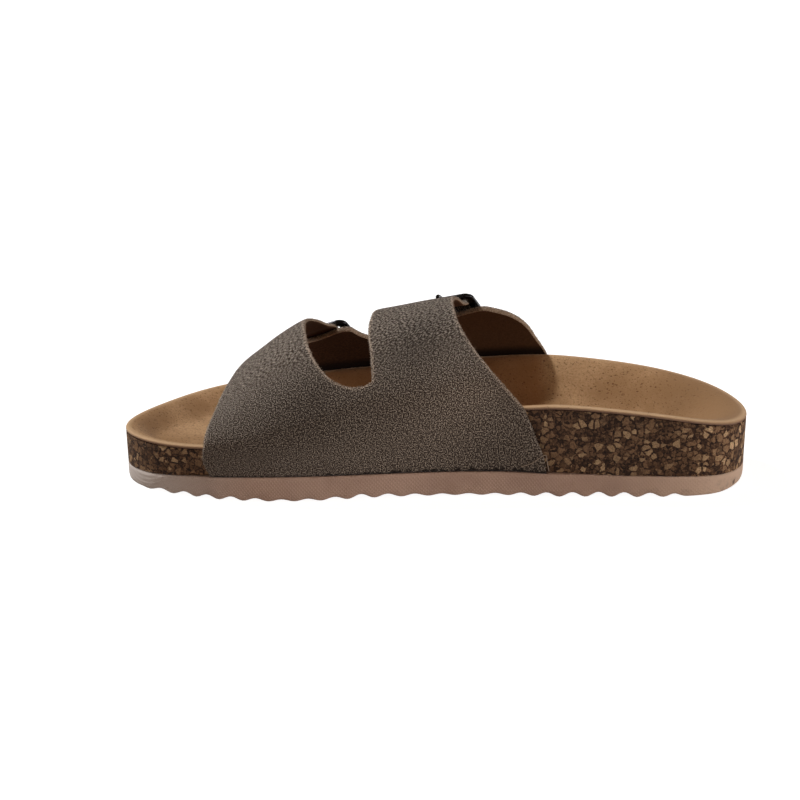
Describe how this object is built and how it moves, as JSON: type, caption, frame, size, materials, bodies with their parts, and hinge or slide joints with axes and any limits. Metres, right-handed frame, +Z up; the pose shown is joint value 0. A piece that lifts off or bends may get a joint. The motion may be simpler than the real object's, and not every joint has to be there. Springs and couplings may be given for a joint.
{
  "type": "two-strap footbed sandal",
  "caption": "Flat slip-on sandal with a moulded cork footbed, a foam outsole with wavy tread, and wide suede straps over the forefoot and instep, each fastened by a buckle on the outer side.",
  "frame": {"origin": "middle of the bounding box on the floor plane under the sole", "axes": "+X points to the heel, -X to the toe, -Y to the inner side of the foot, +Y to the outer side, +Z up"},
  "size_m": [0.2588, 0.1044, 0.074],
  "materials": {
    "foam_sole": "matt dusty pink-beige foam with a fine diagonal hatch",
    "bound_cork": "dark brown binder with pale angular cork grains",
    "footbed_suede": "tan suede with fine pores",
    "strap_suede": "taupe-grey suede with a short nap and pale cut edges",
    "dark_metal": "glossy black nickel plating"
  },
  "bodies": {
    "root": {"outsole": "foam_sole", "cork_midsole": "bound_cork", "insole": "footbed_suede", "upper": "strap_suede", "buckle_frame_front": "dark_metal", "buckle_prong_front": "dark_metal", "buckle_frame_rear": "dark_metal", "buckle_prong_rear": "dark_metal"}
  },
  "joints": []
}
